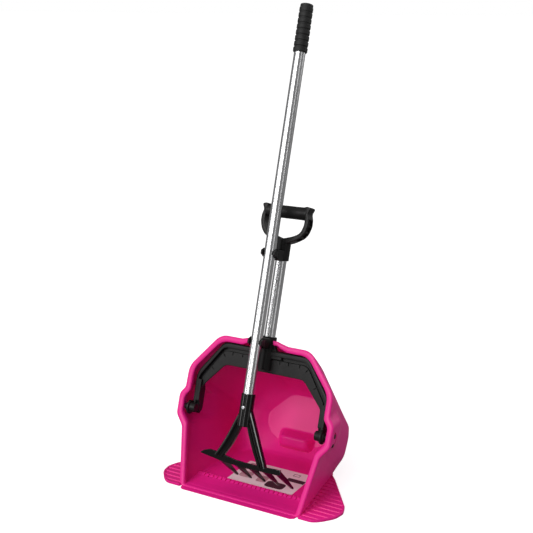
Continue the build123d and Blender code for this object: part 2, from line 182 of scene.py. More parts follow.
def inset(outline, distance, closed=False):
    """Outline moved to its left by a distance, every corner along its mitre."""
    p = np.asarray(outline, float)
    if not closed:
        p = np.concatenate([p[:1] * (-1, 1), p, p[-1:] * (-1, 1)])
    else:
        p = np.concatenate([p[-1:], p, p[:1]])
    run = p[1:] - p[:-1]
    run /= np.linalg.norm(run, axis=1, keepdims=True)
    normal = np.stack([-run[:, 1], run[:, 0]], 1)
    mitre = normal[:-1] + normal[1:]
    return p[1:-1] + distance * mitre / np.maximum(0.5 * (mitre**2).sum(1, keepdims=True), 0.2)


def quads(rows, cols, closed_rows=False):
    """Corner indices of the quads of a grid whose rows are loops, counted row by row."""
    r = np.arange(rows if closed_rows else rows - 1)
    a, b = np.meshgrid(r, np.arange(cols), indexing="ij")
    a2 = (a + 1) % rows
    b2 = (b + 1) % cols
    return np.stack([a * cols + b, a * cols + b2, a2 * cols + b2, a2 * cols + b], -1).reshape(-1, 4)


def shell(rings, loop=False):
    """Closed surface over rings of points, shape (rings, around, 3).

    It runs back into its first ring if loop is set, and has a flat cap on each end if not.
    """
    m, n = rings.shape[:2]
    faces = quads(m, n, closed_rows=loop).tolist()
    if not loop:
        faces += [list(range(n))[::-1], list(range((m - 1) * n, m * n))]
    return outwards(rings.reshape(-1, 3), faces)


def outwards(points, faces):
    """The surface with its faces turned outwards, by the sign of its enclosed volume."""
    total = 0.0
    quad = np.array([f for f in faces if len(f) == 4])
    for a, b, c in ((0, 1, 2), (0, 2, 3)):
        total += np.einsum("ij,ij->", points[quad[:, a]], np.cross(points[quad[:, b]], points[quad[:, c]]))
    for face in (f for f in faces if len(f) != 4):
        p = points[face]
        total += np.einsum("ij,ij->", np.broadcast_to(p[0], p[1:-1].shape), np.cross(p[1:-1], p[2:]))
    return points, [f[::-1] for f in faces] if total < 0 else faces


def turned(profile, place, around=56, loop=False):
    """Surface of revolution: a profile of (height, radius) turned about an axis.

    place takes arrays (radius * cos, radius * sin, height) and returns points in the frame.
    """
    profile = np.asarray(profile, float)
    angle = np.linspace(0, 2 * math.pi, around, endpoint=False)
    h = np.repeat(profile[:, :1], around, 1)
    return shell(place(profile[:, 1:] * np.cos(angle), profile[:, 1:] * np.sin(angle), h), loop)


def up_tube(n):
    """Placing for parts turned about a line along the tubes, forward of the pivot by n."""
    return lambda a, b, h: on_bail(np.stack([a, h, n + b], -1))


def on_pivot(t=0.0, n=0.0, side=1):
    """Placing for parts turned about a line across the bail."""
    return lambda a, b, h: on_bail(np.stack([side * h, t + a, n + b], -1))


def softened(profile, radius):
    """Open profile of (height, radius) with its inner corners rounded."""
    flat = len(profile) - 2
    return rounded(profile, [radius] * flat, [0] * (flat + 1), 4)


def plate(outline, low, high, bevel, place):
    """Flat plate on a closed outline, its edges rounded by quarter circles of the bevel's radius."""
    angle = np.linspace(0, math.pi / 2, 4)
    p = np.asarray(outline, float)
    area = 0.5 * np.sum(p[:, 0] * np.roll(p[:, 1], -1) - np.roll(p[:, 0], -1) * p[:, 1])
    p = p if area > 0 else p[::-1]
    steps = [(bevel * (1 - math.sin(a)), low + bevel * (1 - math.cos(a))) for a in angle]
    steps += [(bevel * (1 - math.cos(a)), high - bevel * (1 - math.sin(a))) for a in angle]
    rings = [np.concatenate([inset(p, d, True), np.full((len(p), 1), h)], 1) for d, h in steps]
    return shell(place(np.stack(rings)))


def carried(edges):
    """Bar along a path: lines (sideways, along) on its surface, each with its height forward."""
    rings = [np.concatenate([line, np.full((len(line), 1), n)], 1) for line, n in edges]
    return shell(on_bail(np.stack(rings, 1)))


def box_outline(x0, x1, y0, y1, cut=2.0):
    """Rectangle with rounded corners as a closed outline."""
    keys = [((x0 + x1) / 2, y0), (x1, y0), (x1, y1), (x0, y1), (x0, y0), ((x0 + x1) / 2, y0)]
    return rounded(keys, [cut] * 4, [0] * 5, 4)[:-1]


def joined(shells):
    """Several closed surfaces as one list of points and faces."""
    points = []
    faces = []
    count = 0
    for p, f in shells:
        points.append(p)
        faces += [[i + count for i in face] for face in f]
        count += len(p)
    return np.concatenate(points), faces


SHARP = math.radians(38.0)  # steeper edges stay sharp


def piece(name, shells, material, body, slot, *nodes):
    """Mesh object in metres at the origin, on its body, standing for its CAD nodes."""
    obj = raw_object(name, shells)
    obj.data.materials.append(material)
    obj.data.polygons.foreach_set("use_smooth", np.ones(len(obj.data.polygons), bool))
    obj.data.set_sharp_from_angle(angle=SHARP)
    weighted = obj.modifiers.new("Weighted normals", "WEIGHTED_NORMAL")
    weighted.keep_sharp = True
    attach(obj, body)
    if nodes:
        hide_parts(*nodes)
    return obj


def raw_object(name, shells):
    """Linked mesh object from closed surfaces in millimetres."""
    points, faces = joined(shells)
    mesh = bpy.data.meshes.new(name)
    mesh.from_pydata((points * MM).tolist(), [], faces)
    mesh.update()
    obj = bpy.data.objects.new(name, mesh)
    bpy.context.scene.collection.objects.link(obj)
    return obj


def cut_away(obj, cutter):
    """Subtracts the cutter from the object and removes the cutter."""
    tool = obj.modifiers.new("Cut", "BOOLEAN")
    tool.operation = "DIFFERENCE"
    tool.solver = "EXACT"
    tool.object = cutter
    depsgraph = bpy.context.evaluated_depsgraph_get()
    mesh = bpy.data.meshes.new_from_object(obj.evaluated_get(depsgraph))
    obj.modifiers.clear()
    old = obj.data
    obj.data = mesh
    bpy.data.meshes.remove(old)
    bpy.data.objects.remove(cutter, do_unlink=True)


def with_cuts(surface, cutters):
    """The closed surface, in millimetres, with every cutter taken out of it."""
    obj = raw_object("surface", [surface])
    for cutter in cutters:
        cut_away(obj, raw_object("cutter", [cutter]))
    points = np.empty(len(obj.data.vertices) * 3)
    obj.data.vertices.foreach_get("co", points)
    faces = [list(p.vertices) for p in obj.data.polygons]
    bpy.data.objects.remove(obj, do_unlink=True)
    return points.reshape(-1, 3) / MM, faces


# ---------------------------------------------------------------- bucket

ROOF_INSIDE = 5  # points across the notch
ROOF_OUTSIDE = (0.5, 0.75, 0.86)  # points on each side of it, as shares of the way to its edge
ROOF_POINTS = ROOF_INSIDE + 2 * len(ROOF_OUTSIDE)
ROOF_AT = 7  # which span of the loop is the roof
LOOP_SPANS = [8, 8, 3, 5, 2, 4, 7, ROOF_POINTS, 7, 4, 2, 5, 3, 8, 8]
LOOP_ARC = 7


def bucket_loop(half, cuts, depth, slope, notch):
    """Closed loop round the bucket at one depth: y = depth + slope * z.

    The half outline is mirrored, its corners are rounded, and the roof's own points sit at even
    steps inside the notch and at fixed shares of the way to it outside.
    """
    half = np.asarray(half, float)
    right = np.stack([half[:, 0], depth + slope * half[:, 1], half[:, 1]], 1)
    middle = right[:1] * (0, 1, 1)
    keys = np.concatenate([middle, right, right[::-1] * (-1, 1, 1), middle])
    loop = rounded(keys, list(cuts) + list(cuts)[::-1], LOOP_SPANS, LOOP_ARC)[:-1]
    first, last = roof_span()
    edge = loop[first - 1, 0]
    cut = min(notch, 0.6 * edge)
    inner = np.linspace(cut, -cut, ROOF_INSIDE)
    outer = edge + (cut - edge) * np.array(ROOF_OUTSIDE)
    x = np.concatenate([outer, inner, -outer[::-1]])
    loop[first:last, 0] = x
    loop[first:last, 1:] = loop[first - 1, 1:]
    return loop


def roof_span():
    """Columns of the roof's straight stretch, between its two rounded corners."""
    first = 1 + sum(LOOP_SPANS[:ROOF_AT]) + ROOF_AT * LOOP_ARC
    return first, first + LOOP_SPANS[ROOF_AT]


def mouth_at(depth, thickness, floor):
    """Half outline of the wall near the mouth, at a depth behind it."""
    s = depth / SHOULDER_DEPTH
    half = np.array(MOUTH) * (1 - s) + np.array(SHOULDER) * s
    return walls(half, thickness, floor)


def walls(half, thickness, floor=True):
    """Half outline moved in by a thickness, standing on the floor's upper face if it has one."""
    moved = inset(half, thickness)
    if floor and thickness:
        moved[0, 1] = FLOOR
    return moved


def bucket_rows(wall, inside):
    """Rows of the bucket's outer or inner face, from the finger hold's nose to behind the rim."""
    t = wall if inside else 0.0
    notch = NOTCH_HALF + NOTCH_FLARE * t / 12
    grow = -0.8 * t
    nose = np.array(HOLD_NOSE) * 0.12 + np.array((0, 40)) * 0.88
    stations = [
        (nose, HOLD_CUTS, HOLD_DEPTH - 1 - t, 0.0),
        (walls(HOLD_NOSE, grow, False), HOLD_CUTS, HOLD_DEPTH - t, 0.0),
        (walls(HOLD, grow, False), HOLD_CUTS, PANEL_DEPTH - t, BACK_SLOPE),
        (walls(PANEL, 0.6 * t, False), REAR_CUTS, PANEL_DEPTH - t, BACK_SLOPE),
        (walls(BACK, t, False), REAR_CUTS, BACK_DEPTH - t, BACK_SLOPE),
        (walls(HEEL, t), BODY_CUTS, HEEL_DEPTH, RIM_SLOPE),
        (walls(WAIST, t), BODY_CUTS, WAIST_DEPTH, RIM_SLOPE),
        (walls(SHOULDER, t), MOUTH_CUTS, SHOULDER_DEPTH, RIM_SLOPE),
        (mouth_at(12, t, True), MOUTH_CUTS, 12.0, RIM_SLOPE),
    ]
    loops = [bucket_loop(half, cuts, depth, slope, notch) for half, cuts, depth, slope in stations]
    return rounded(loops, [9, 4, 2.5, 6, 30, 30, 10], [3, 3, 8, 2, 3, 10, 6, 5], 7)


def rim_rows(settings):
    """Rows over the rolled rim: half an ellipse from the outer wall to the rim's inner edge.

    At angle a the row lies (1 - cos a) / 2 of the rim's width in, and its depth is the
    roll times (1 - sin^0.7 a). Three more rows on each side run back to the wall.
    """
    width = settings.rim_width / MM
    roll = settings.rim_roll / MM
    depth = settings.rim_depth / MM

    def outer(at):
        return bucket_loop(mouth_at(at, 0, False), MOUTH_CUTS, at, RIM_SLOPE, NOTCH_HALF)

    def inner(at):
        return bucket_loop(walls(MOUTH, width), MOUTH_CUTS, at, RIM_SLOPE, NOTCH_HALF + NOTCH_FLARE)

    angle = np.linspace(0, math.pi, 13)[1:-1]
    rolled = []
    for a in angle:
        s = (1 - math.cos(a)) / 2
        at = roll * (1 - math.sin(a) ** 0.7)
        rolled.append(outer(at) * (1 - s) + inner(at) * s)
    front = [outer(depth - 1), outer(depth - 2.5), outer(roll)]
    behind = [inner(roll), inner(depth - 1), inner(depth) * 0.85 + outer(depth) * 0.15]
    return np.array(front + rolled + behind)


def notch_lift(points, rows_out, rows_rim):
    """Turned-up edge round the roof's notch, fading with the distance from the notch.

    Only the roof moves, and the rim's rows move more and more towards the inner face.
    """
    depth = points[..., 1] - points[..., 2] * RIM_SLOPE
    aside = np.maximum(np.abs(points[..., 0]) - NOTCH_HALF, 0)
    away = np.hypot(aside, np.maximum(depth - SHOULDER_DEPTH, 0))
    roof = smooth(245, 262, points[..., 2])
    weight = np.ones(len(points))
    weight[rows_out + 3:rows_out + rows_rim] = np.linspace(1, 1.7, rows_rim - 3)
    points[..., 2] += LIFT_HEIGHT * (1 - smooth(*LIFT_FADE, away)) * roof * weight[:, None]


def bucket_shell(settings):
    """The bucket's wall as one closed skin: outer face, rolled rim and inner face in one grid.

    Rows run from the rear of the outer face over the rim to the rear of the inner face, so the
    row p lies through the wall from row last - p. The notch is left out of the grid, and its
    three edges are closed by quads through the wall.
    """
    wall = settings.wall / MM
    outer = bucket_rows(wall, False)
    rim = rim_rows(settings)
    inner = bucket_rows(wall, True)[::-1]
    points = np.concatenate([outer, rim, inner])
    notch_lift(points, len(outer), len(rim))
    rows, cols = points.shape[:2]
    first, last = roof_span()
    right = first + len(ROOF_OUTSIDE)
    left = last - 1 - len(ROOF_OUTSIDE)
    depth = outer[:, right, 1] - outer[:, right, 2] * RIM_SLOPE
    start = int(np.argmin(np.abs(depth - SHOULDER_DEPTH)))
    grid = quads(rows, cols).reshape(rows - 1, cols, 4)
    keep = np.ones((rows - 1, cols), bool)
    keep[start:rows - 1 - start, right:left] = False
    faces = grid[keep].tolist()
    p = np.arange(start, rows // 2)
    pairs = []
    for column, turn in ((right, 1), (left, -1)):
        side = [p * cols + column, (p + 1) * cols + column]
        side += [(rows - 2 - p) * cols + column, (rows - 1 - p) * cols + column]
        pairs.append(np.stack(side[::turn], 1))
    u = np.arange(right, left)
    far = (rows - 1 - start) * cols
    pairs.append(np.stack([start * cols + u, far + u, far + u + 1, start * cols + u + 1][::-1], 1))
    for block in pairs:
        distinct = block[:, 1] != block[:, 2]
        faces += block[distinct].tolist()
    faces += [list(range(cols))[::-1], list(range((rows - 1) * cols, rows * cols))]
    return outwards(points.reshape(-1, 3), faces)


def ramp_shell(settings):
    """Loading lip: side-view sections set side by side across the mouth.

    The section is a wedge from nose to crest; in a groove's columns its rear part sinks by the
    groove's depth. The nose draws back towards both ends.
    """
    pitch = settings.groove_pitch / MM
    count = int(122 / pitch)
    half = GROOVE_HALF
    slots = np.arange(-count, count + 1) * pitch
    x = (slots[:, None] + np.array((-pitch / 2, -half - 0.5, -half, half, half + 0.5))).ravel()
    corner = np.array((134, 141, 143, 147, 149))
    x = np.concatenate([-corner[::-1], x[x > -134], [count * pitch + pitch / 2], corner])
    from_slot = np.abs((x + pitch / 2) % pitch - pitch / 2)
    sunk = np.isclose(from_slot, half, atol=0.01) & (np.abs(x) < 130)
    nose = np.interp(np.abs(x), (134, 141, 143, 149), (RAMP_NOSE, -7, 2, 4))
    rear = RAMP_CREST + 7.5
    y = np.array((0.0, 0.0, 0.012, 0.3, 0.6, 0.80, 0.87, 0.885, 0.92, 0.95, 0.985, 1.0))
    ys = nose[:, None] + (RAMP_CREST - nose[:, None]) * y
    z = np.repeat([[0.0, 0.9, 1.3, 2.7, 4.1, 5.2, 6.2, 6.6, 8.0, 8.8, 9.3, RAMP_HEIGHT]], len(x), 0)
    z -= GROOVE_DEPTH * sunk[:, None] * ((y > 0.875) & (y < 0.99))
    top = np.stack([np.broadcast_to(x[:, None], ys.shape), ys, z], -1)
    ends = [(rear - 5, RAMP_HEIGHT - 1.5), (rear, 2), (rear - 2, 0)]
    tail = [np.stack([x, np.full_like(x, a), np.full_like(x, b)], -1)[:, None] for a, b in ends]
    return shell(np.concatenate([top] + tail, 1))


def foot_shell(side, settings):
    """Foot wing: sections across it, set one behind another from front to rear.

    Each section has a flat border along the outer edge, and its field stands proud on a rib's
    rows and lies lower between them.
    """
    pitch = settings.rib_pitch / MM
    starts = 8 + pitch * np.arange(FOOT_RIBS)
    y = (starts[:, None] + np.array((0, 0.7, 5.3, 6.0))).ravel()
    y = np.concatenate([[-3, -2.2, 0, 3, 5.5], y, [204, 210, 214]])
    fine = np.linspace(-40, 250, 581)
    ey, ex = np.array(FOOT_OUTLINE, float).T
    edge = np.convolve(np.interp(fine, ey, ex), np.ones(17) / 17, "same")
    outer = np.interp(y, fine, edge)
    outer[0] -= 5
    outer[1] -= 1.5
    inner = np.interp(y, (-3, 0, 110, 225), (149, 147, 130, 112)) - 1
    outer = np.maximum(outer, inner + 8)
    phase = (y - starts[0]) % pitch
    rib = ((phase > 0.5) & (phase < 5.5) & (y > 6) & (y < 200)) | (y < 4) | (y > 205)
    rise = np.where(rib, 5.5, 4.0)
    edge_z = np.where(y < -2.5, 4.8, 5.5)
    spots = [
        (inner, rise), (inner + 1, rise), (outer - 5.2, rise), (outer - 4.4, edge_z),
        (outer - 1.2, edge_z), (outer - 0.4, edge_z - 0.3), (outer, edge_z - 1.1),
        (outer, 0.6 + 0 * y), (outer - 0.6, 0 * y), (inner, 0 * y),
    ]
    rings = np.stack([np.stack([side * px, y, pz], -1) for px, pz in spots], 1)
    return shell(rings)


def on_wall(side, out=0.0, y=0.0, z=0.0):
    """Placing for plates on a side wall: their axes are (rearward, up) and their height is out."""
    return lambda p: np.stack([side * (out + p[..., 2]), y + p[..., 0], z + p[..., 1]], -1)


def snap_slot(side):
    """Cutter for the C-shaped slot beside a pivot: an arc band with round ends, through the wall."""
    angle = np.linspace(-1.15, 1.15, 17)
    outer = np.stack([15 * np.cos(angle), 15 * np.sin(angle)], 1)
    inner = np.stack([12.6 * np.cos(angle[::-1]), 12.6 * np.sin(angle[::-1])], 1)
    turn = np.linspace(0, math.pi, 7)[1:-1]
    ends = []
    for a, way in ((1.15, 1), (-1.15, -1)):
        middle = 13.8 * np.array((math.cos(a), math.sin(a)))
        swing = a + way * turn if way > 0 else a + math.pi + turn
        ends.append(middle + 2.4 * np.stack([np.cos(swing), np.sin(swing)], 1))
    outline = np.concatenate([outer, ends[0], inner, ends[1]])

    return plate(outline, 0, 20, 0.2, on_wall(side, 177, PIVOT[1], PIVOT[2]))


def hole_shade_plugs(side):
    """Two black ovals set through the wall beside a pin, flush with its outer face: painted shade for holes
    that look dark.
    """
    angle = np.linspace(0, 2 * math.pi, 24, endpoint=False)
    upper = (77.0, 161.0, 3.4, 5.0, 0.2, 190.9)
    lower = (69.5, 143.0, 3.6, 3.2, 0.5, 190.4)
    shade_plugs = []
    for y, z, half_y, half_z, lean, face in (upper, lower):
        a, b = half_y * np.cos(angle), half_z * np.sin(angle)
        shade_plugs.append(plate(np.stack([y + a + lean * b, z + b], 1), 186.0, face, 0.5, on_wall(side)))
    return shade_plugs


def boss(side):
    """Round boss inside the rim's pocket that holds the bail's pin."""
    profile = softened([(177, 6.1), (177, 10.5), (187.5, 10.5), (187.5, 6.1)], 0.8)

    def place(a, b, h):
        return np.stack([side * h, PIVOT[1] + a, PIVOT[2] + b], -1)

    return turned(profile, place, 40)


# ---------------------------------------------------------------- bail, grip and clips


def tube_clip(t, root):
    """Open U clip for the rake's tube, its jaws cut back towards both ends, and its neck."""
    inner = TUBE_RADIUS + 0.45
    outer = inner + 4.5
    half = 9.5
    stations = np.array((-1, -0.93, -0.4, 0.4, 0.93, 1)) * half
    tips = RAKE_N + np.array((-3, -2.2, 10, 10, -2.2, -3))
    slim = np.array((0.8, 0, 0, 0, 0, 0.8))
    swing = np.linspace(0, math.pi, 25)
    rings = []
    for at, tip, thin in zip(stations, tips, slim):
        out = np.stack([(outer - thin) * np.cos(swing), RAKE_N - (outer - thin) * np.sin(swing)], 1)
        into = np.stack([(inner + thin) * np.cos(swing), RAKE_N - (inner + thin) * np.sin(swing)], 1)[::-1]
        lips = [(outer - thin, tip - 1), (outer - 1, tip), (inner + 1, tip), (inner + thin, tip - 1)]
        left = np.array(lips) * (-1, 1)
        section = np.concatenate([out, left, into, lips[::-1]])
        rings.append(np.stack([section[:, 0], np.full(len(section), t + at), section[:, 1]], 1))
    neck = plate(box_outline(-11.5, 11.5, t - 13, t + half, 2), HANDLE_N, root, 1.5, on_bail)
    return [shell(on_bail(np.stack(rings))), neck]


def socket(low, high, radius, bore, n, floor=None):
    """Turned socket with a bore for the tube; it is closed below the floor if one is given."""
    if floor is None:
        corners = [(low, bore), (low, radius), (high, radius), (high, bore), (low, bore)]
        return turned(softened(corners, 1.2)[:-1], up_tube(n), loop=True)
    corners = [(low, 2.0), (low, radius), (high, radius), (high, bore), (floor, bore), (floor, 2.0)]
    return turned(softened(corners, 1.2), up_tube(n))


def bail_arch():
    """The bail's arch: a stepped section carried along the path from one pivot to the other.

    At every station the section spans from the outer to the inner outline: a raised flange of
    fixed width, a narrow channel beside it, and a thinner plate that takes up the rest.
    """
    def whole(half):
        right = np.array(half, float)
        return np.concatenate([right * (-1, 1), right[::-1]])

    cuts = [14, 12, 12, 14]
    spans = [6, 6, 12, 6, 6]
    outer = rounded(whole(BAIL_OUTER), cuts, spans, 8)
    inner = rounded(whole(BAIL_INNER), [12, 10, 10, 12], spans, 8)
    across = inner - outer
    width = np.linalg.norm(across, axis=1, keepdims=True)
    section = [
        (1.5, -14), (0.3, -13.6), (0, -12.0), (0, -6.5), (0.9, -4.6), (2.6, -3.4), (5, -3),
        (10.2, -3), (11.4, -3.4), (11.8, -4.6), (12.0, -13.3), (19.0, -13.3), (19.3, -10.3), (20.0, -9.5),
    ]
    rest = [(-1.4, -9.5), (-0.4, -9.9), (0, -10.8), (0, -12.8), (-0.5, -13.7), (-1.5, -14)]
    fit = np.minimum(1, (width - 2) / 22)
    edges = [(outer + across * fit * w / width, n) for w, n in section]
    return carried(edges + [(inner + across * w / width, n) for w, n in rest])


def tick_cutters():
    """Short slots that hang from the channel into the plate."""
    spots = [(-57, 134, 0), (-82, 134, 0), (-103, 127, 40), (-128, 94, 52), (57, 134, 0), (84, 134, 0)]
    spots += [(103, 127, -40), (128, 94, -52), (36, 134, 0), (-36, 134, 0)]
    cutters = []
    for x, t, turn in spots:
        c, s = math.cos(math.radians(turn)), math.sin(math.radians(turn))
        corner = np.array([(-1.1, -5), (1.1, -5), (1.1, 5), (-1.1, 5)])
        outline = corner @ np.array([(c, s), (-s, c)]) + (x, t)
        cutters.append(plate(outline, -12.4, -6, 0.05, on_bail))
    return cutters


def knuckle(side):
    """Arm's end: a deep leaf down to a barrel on the pivot axis, with the pin beyond it."""
    barrel = [(148.5, 2), (148.5, 10.2), (161, 11), (161.5, 15.4), (166, 15.6), (167.5, 14)]
    barrel += [(168, 11), (171.5, 9.4), (172, 6), (185.4, 6), (185.4, 1)]
    outline = rounded(ARM_LEAF + ARM_LEAF[:1], [2.5] * 11, [0] * 12, 4)[:-1]

    def place(p):
        return on_bail(np.stack([side * p[..., 2], p[..., 0], p[..., 1]], -1))

    return [turned(softened(barrel, 1.6), on_pivot(side=side), 48), plate(outline, 147.8, 162.3, 1.6, place)]


def d_grip_arms():
    """Both arms of the D as one rounded bar carried from one end of the grip to the other.

    The section is a rounded rectangle between the outer and inner outlines. Pockets sink into
    its outer side at even stations, with ribs left between them.
    """
    outer = [(50, 470.5), (59.5, 468.5), (53.5, 456), (57.5, 445), (58, 430)]
    outer += [(53, 413.5), (44.5, 402.5), (31, 394.5), (17, 388), (0, 385)]
    inner = [(43, 468), (45.5, 464), (46, 455), (48, 443.5), (47.8, 430)]
    inner += [(43.5, 417), (37.5, 410), (25, 404), (12, 400), (0, 397)]
    start, end, pitch = 34, 94, 15  # of the pockets, measured from each end of the D
    cuts = [5] * 17

    def whole(half):
        right = np.array(half, float)
        return rounded(np.concatenate([right, right[-2::-1] * (-1, 1)]), cuts, [2] * 18, 5)

    far, near = whole(outer), whole(inner)
    run = np.concatenate([[0], np.cumsum(np.linalg.norm(np.diff(far, axis=0), axis=1))])
    fine = np.linspace(0, run[-1], 241)
    far = np.stack([np.interp(fine, run, far[:, i]) for i in (0, 1)], 1)
    near = np.stack([np.interp(fine, run, near[:, i]) for i in (0, 1)], 1)
    across = near - far
    width = np.linalg.norm(across, axis=1)
    from_end = np.minimum(fine, run[-1] - fine)
    phase = (from_end - start) % pitch
    pocket = smooth(0, 1.2, phase) * (1 - smooth(11.5, 12.7, phase)) * ((from_end > start) & (from_end < end))
    depth = 4.5 * pocket
    section = [
        (2.2, 13), (0.7, 12.3), (0, 10.8), (0, 9.6), (depth, 9),
        (depth, -9), (0, -9.6), (0, -10.8), (0.7, -12.3), (2.2, -13),
        (width - 2.4, -13), (width - 0.7, -12), (width, -10),
        (width, 10), (width - 0.7, 12), (width - 2.4, 13),
    ]
    return carried([(far + across * (w / width)[:, None], HANDLE_N + n) for w, n in section])


def d_grip_bar():
    """The D's hand bar: a round bar that swells to an ear at each end."""
    half = [(0, 13.9), (20, 13.8), (36, 14.0), (44, 14.3), (50, 14.3), (51, 12), (51, 8), (51, 4)]
    profile = [(-h, r) for h, r in half[:0:-1]] + half
    count = len(profile) - 2
    soft = rounded(profile, [1.6] * count, [1] * (count + 1), 4)
    return turned(soft, on_pivot(455.3, HANDLE_N), 48)


# ---------------------------------------------------------------- rake


def rake_arm(side):
    """Curved arm of the rake: a ribbed section carried between its outer and inner outlines.

    The front carries two narrow ribs with a channel between them, and fades into the socket.
    """
    if side > 0:
        outer = [(13, 30), (25.5, 4), (36, -18), (51, -50), (64, -76), (67, -84)]
        inner = [(0, 8), (8, -6), (17, -27), (30, -54), (45, -80), (48, -87)]
    else:
        outer = [(13, 24), (24, -3), (34.5, -31), (46, -56), (57, -75), (60, -80)]
        inner = [(-2, 4), (4, -7), (12, -30), (24, -56), (36, -76), (40, -82)]
    far = rounded(outer, [12] * 4, [5] * 5, 6)
    near = rounded(inner, [12] * 4, [5] * 5, 6)
    across = near - far
    front = [
        (0, 2.5), (0.04, 4.6), (0.14, 5.8), (0.33, 5.6), (0.37, 7.0), (0.41, 7.0), (0.44, 4.2),
        (0.56, 4.2), (0.59, 7.0), (0.63, 7.0), (0.67, 5.6), (0.86, 5.8), (0.96, 4.6), (1, 2.5),
    ]
    back = [(1, -4), (0.95, -5.4), (0.85, -6), (0.15, -6), (0.05, -5.4), (0, -4)]
    return carried([((far + across * s) * (side, 1), RAKE_N + n) for s, n in front + back])


def rake_tine(x, settings):
    """Tapering tine: a side-view outline that runs back and down from the bar."""
    turn = settings.tine_drop - math.atan2(FORWARD[2], -FORWARD[1])
    back = np.array((-math.sin(turn), -math.cos(turn)))
    up = np.array((math.cos(turn), -math.sin(turn)))
    root = np.array((-91.0, RAKE_N + 1))
    length = settings.tine_length / MM
    side = [root, root + back * (length - 4), root + back * (length - 0.4) + up * 0.8]
    side += [root + back * (length - 0.2) + up * 3, root + back * (length - 2) + up * 4.6]
    side += [root + back * 50 + up * 9.5, root + up * 11.5 + back * 12]
    side += [root + up * 8 + back * 1, root + up * 3 - back * 1]
    half = settings.tine_thickness / MM / 2

    def place(p):
        return on_bail(np.stack([x + p[..., 2], p[..., 0], p[..., 1]], -1))

    return plate(np.array(side), -half, half, 0.9, place)


def rake_bar():
    """The rake's bar: a flat plate with a pointed ear at its left end."""
    upper = [(101, -79.5), (90, -80), (70, -81), (48, -82), (15, -82), (-8, -81), (-36, -76.5), (-62, -72.5)]
    ear = [(-74, -72), (-88, -77), (-95.5, -82.5), (-94, -84.5)]
    lower = [(-57, -89), (-40, -91.5), (11, -94), (60, -92.5), (100, -91.5), (102, -89)]
    return plate(upper + ear + lower, RAKE_N - 2.5, RAKE_N + 2.5, 1.2, on_bail)


def ribbed_sleeve(settings):
    """Rake grip: a sleeve whose radius steps in at the grooves between its rings."""
    low, high = GRIP_SPAN
    rings = settings.grip_rings
    pitch = (high - low - 6) / rings
    profile = [(low, TUBE_RADIUS), (low, 14.2)]
    for i in range(rings):
        start = low + 1 + i * pitch
        radius = 15.5 - 0.12 * i
        profile += [(start, radius - 0.9), (start + 0.9, radius), (start + pitch - 3.6, radius)]
        end = start + pitch
        profile += [(end - 2.8, radius - 0.7), (end - 2.4, 13.7), (end - 0.4, 13.7)]
    profile += [(high - 4, 13.9), (high - 1.4, 13.2), (high - 0.3, 10.5), (high, 6), (high, 0.8)]
    return turned(profile, up_tube(RAKE_N), 56)


# ---------------------------------------------------------------- finishes


def preset(node, **values):
    """Set a node's inputs by name, with underscores for spaces."""
    for name, value in values.items():
        node.inputs[name.replace("_", " ")].default_value = value


def grain_group():
    """Node group: moulded or rubbed grain. Gives a fine height and a broad, soft mottle."""
    group = bpy.data.node_groups.new("Moulded grain", "ShaderNodeTree")
    group.interface.new_socket("Vector", in_out="INPUT", socket_type="NodeSocketVector")
    fine = group.interface.new_socket("Fine scale", in_out="INPUT", socket_type="NodeSocketFloat")
    broad = group.interface.new_socket("Broad scale", in_out="INPUT", socket_type="NodeSocketFloat")
    fine.default_value = 900.0
    broad.default_value = 14.0
    group.interface.new_socket("Height", in_out="OUTPUT", socket_type="NodeSocketFloat")
    group.interface.new_socket("Mottle", in_out="OUTPUT", socket_type="NodeSocketFloat")
    nodes, links = group.nodes, group.links
    inputs = nodes.new("NodeGroupInput")
    outputs = nodes.new("NodeGroupOutput")
    for name, output, detail in (("Fine scale", "Height", 4.0), ("Broad scale", "Mottle", 2.0)):
        noise = nodes.new("ShaderNodeTexNoise")
        preset(noise, Detail=detail)
        links.new(inputs.outputs["Vector"], noise.inputs["Vector"])
        links.new(inputs.outputs[name], noise.inputs["Scale"])
        links.new(noise.outputs["Fac"], outputs.inputs[output])
    return group


def finish(name, colour, roughness, grain, bump, fine, broad, spread, specular=0.5, metal=0.0, stretch=None):
    """Principled material: the mottle varies its colour, the grain its roughness and its bump."""
    mat = bpy.data.materials.new(name)
    mat.use_nodes = True
    nodes, links = mat.node_tree.nodes, mat.node_tree.links
    shader = nodes["Principled BSDF"]
    preset(shader, Specular_IOR_Level=specular, Metallic=metal)
    where = nodes.new("ShaderNodeTexCoord")
    vector = where.outputs["Object"]
    if stretch is not None:
        mapping = nodes.new("ShaderNodeMapping")
        preset(mapping, Rotation=(math.atan2(ALONG[1], ALONG[2]), 0, 0), Scale=stretch)
        links.new(vector, mapping.inputs["Vector"])
        vector = mapping.outputs["Vector"]
    group = nodes.new("ShaderNodeGroup")
    group.node_tree = grain
    preset(group, Fine_scale=fine, Broad_scale=broad)
    links.new(vector, group.inputs["Vector"])
    tone = nodes.new("ShaderNodeValToRGB")
    low = [c * (1 - spread) for c in colour]
    high = [min(1.0, c * (1 + spread)) for c in colour]
    tone.color_ramp.elements[0].position = 0.3
    tone.color_ramp.elements[0].color = (*low, 1)
    tone.color_ramp.elements[1].position = 0.7
    tone.color_ramp.elements[1].color = (*high, 1)
    links.new(group.outputs["Mottle"], tone.inputs["Fac"])
    links.new(tone.outputs["Color"], shader.inputs["Base Color"])
    rough = nodes.new("ShaderNodeMapRange")
    preset(rough, To_Min=roughness - 0.05, To_Max=roughness + 0.05)
    links.new(group.outputs["Height"], rough.inputs["Value"])
    links.new(rough.outputs["Result"], shader.inputs["Roughness"])
    dent = nodes.new("ShaderNodeBump")
    preset(dent, Strength=bump, Distance=0.0004)
    links.new(group.outputs["Height"], dent.inputs["Height"])
    links.new(dent.outputs["Normal"], shader.inputs["Normal"])
    return mat


